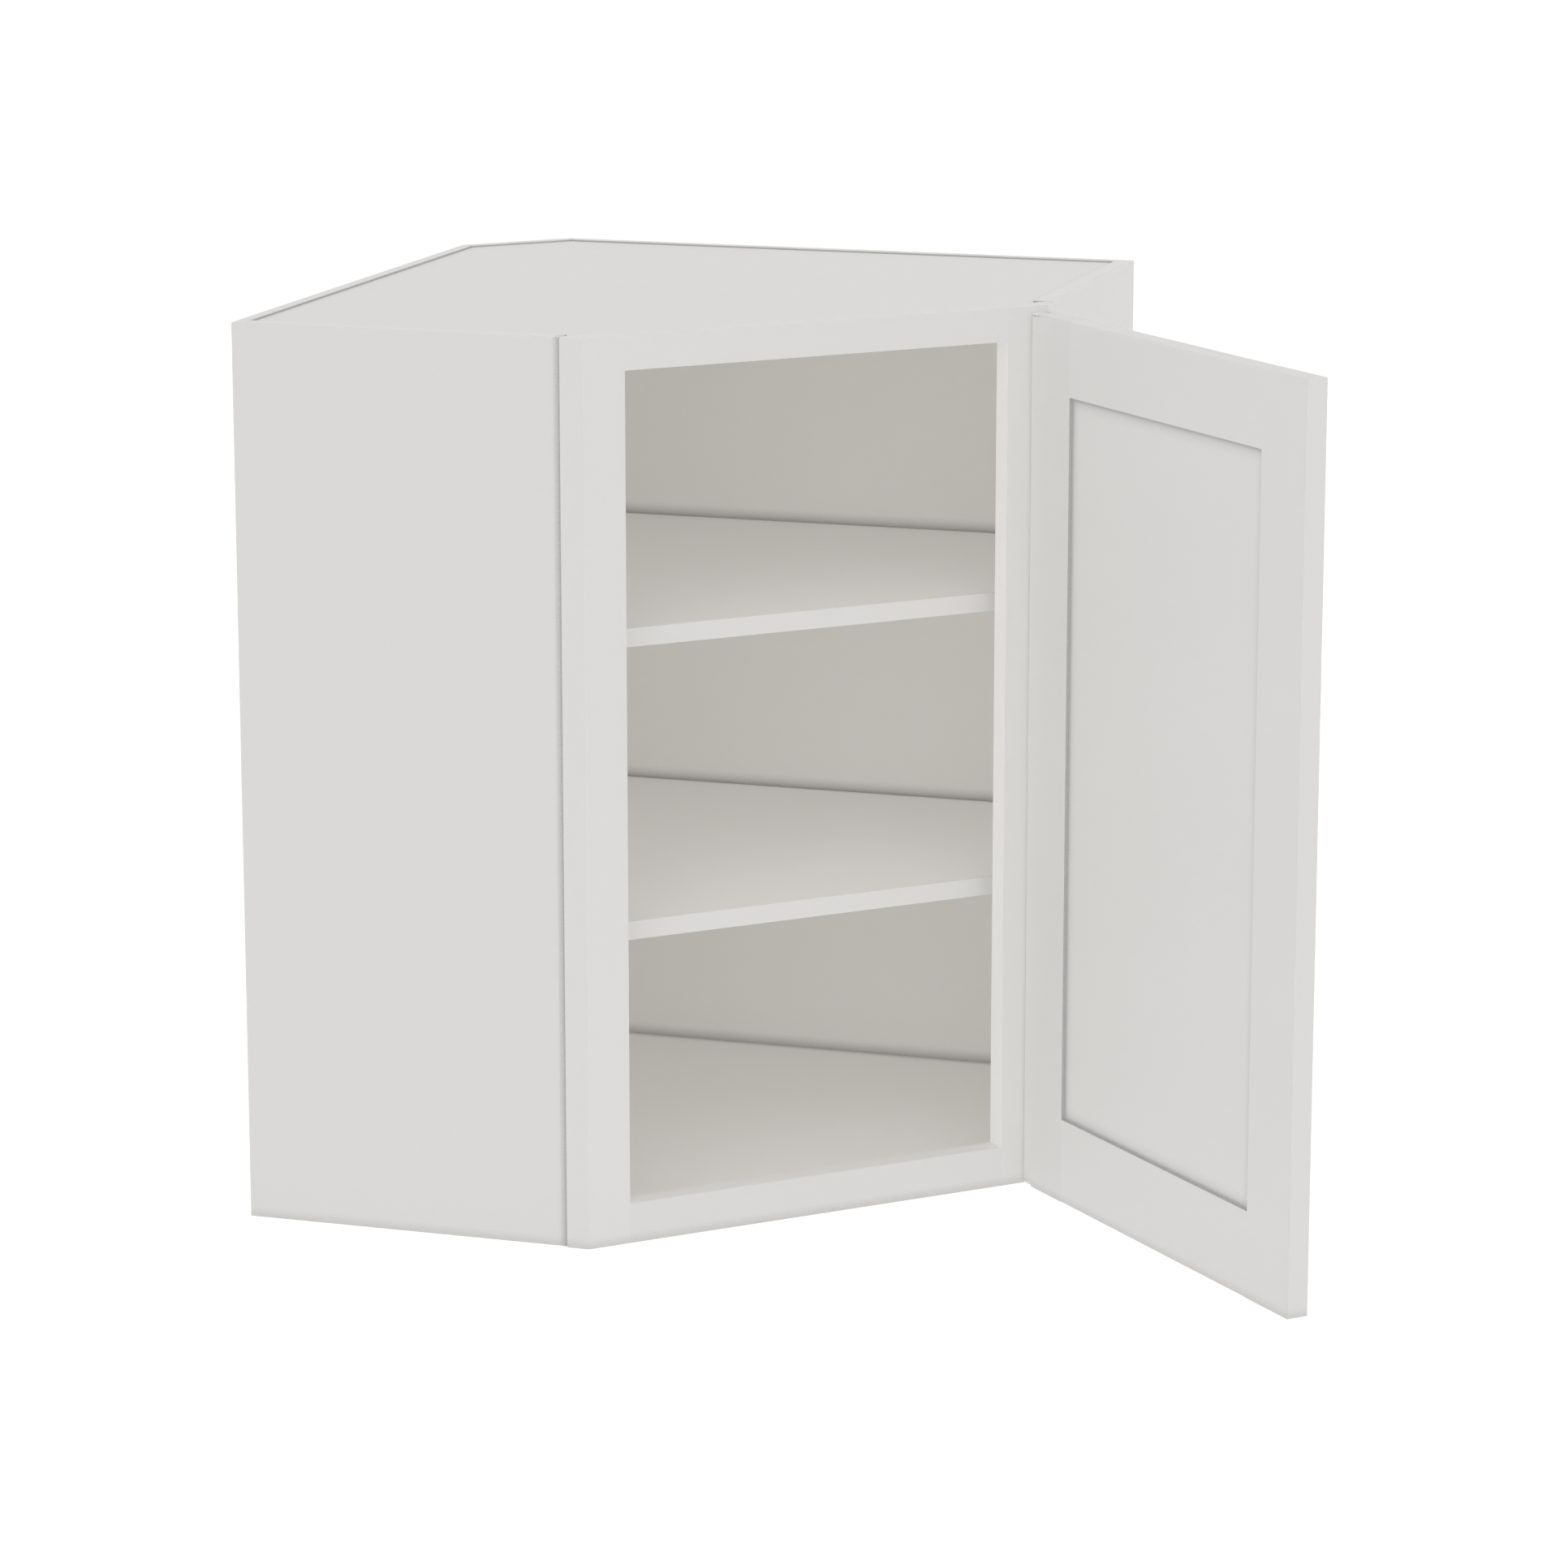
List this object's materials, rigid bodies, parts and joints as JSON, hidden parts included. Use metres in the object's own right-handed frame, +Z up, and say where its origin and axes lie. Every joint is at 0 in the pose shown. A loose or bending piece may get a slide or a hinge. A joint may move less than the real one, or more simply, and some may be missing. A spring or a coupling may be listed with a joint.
{
  "type": "corner wall cabinet",
  "caption": "Diagonal corner wall cabinet: face frame across the corner, recessed-panel door hung at its ends, loose shelves on pins.",
  "frame": {"origin": "middle of the rear wall's screw pattern, on the face that lies on the rear wall", "axes": "+X to the right along the rear wall, +Y into the rear wall, +Z up; the left wall is square to X and the door side faces between -Y and +X"},
  "size_m": [0.9114, 0.6169, 0.762],
  "materials": {
    "carcass_paint": "satin paint on plywood",
    "frame_paint": "satin paint on hardwood",
    "door_paint": "satin paint on hardwood",
    "shelf_paint": "satin paint on plywood",
    "edging": "satin",
    "bare_wood": "bare",
    "pin_steel": "zinc plated",
    "bush_plastic": "moulded",
    "spacer_rubber": "matte",
    "nail_steel": "bright",
    "screw_steel": "zinc plated",
    "hinge_steel": "satin powder coat"
  },
  "bodies": {
    "cabinet": {"carcass_dowels": "bare_wood", "wall_panel_nails": "nail_steel", "lower_shelf_pins": "pin_steel", "upper_shelf_pins": "pin_steel", "left_end_panel": "carcass_paint", "right_end_panel": "carcass_paint", "left_wall_panel": "carcass_paint", "rear_wall_panel": "carcass_paint", "corner_wall_panel": "carcass_paint", "top_panel": "carcass_paint", "bottom_panel": "carcass_paint", "left_glue_blocks": "bare_wood", "right_glue_blocks": "bare_wood", "bottom_hinge_leaf": "hinge_steel", "bottom_hinge_pin": "screw_steel", "top_hinge_leaf": "hinge_steel", "top_hinge_pin": "screw_steel", "hinge_screws": "screw_steel", "frame_left_stile": "frame_paint", "frame_right_stile": "frame_paint", "frame_top_rail": "frame_paint", "frame_bottom_rail": "frame_paint", "frame_dowels": "bare_wood"},
    "door": {"door_hinge_stile": "door_paint", "door_free_stile": "door_paint", "door_top_rail": "door_paint", "door_bottom_rail": "door_paint", "door_panel": "door_paint", "door_panel_spacers": "spacer_rubber", "bottom_hinge_bush": "bush_plastic", "top_hinge_bush": "bush_plastic"},
    "lower_shelf": {"lower_shelf": "shelf_paint", "lower_shelf_edging": "edging"},
    "upper_shelf": {"upper_shelf": "shelf_paint", "upper_shelf_edging": "edging"}
  },
  "joints": [
    {"name": "door_hinge", "type": "hinge", "parent": "cabinet", "child": "door", "pos_m": [0.30706, -0.31915, 0], "axis": [0, 0, 1], "range_deg": [-90, 10]},
    {"name": "lower_shelf_lift", "type": "slide", "parent": "cabinet", "child": "lower_shelf", "axis": [0, 0, 1], "range_m": [0, 0.2]},
    {"name": "upper_shelf_lift", "type": "slide", "parent": "cabinet", "child": "upper_shelf", "axis": [0, 0, 1], "range_m": [0, 0.2]}
  ]
}
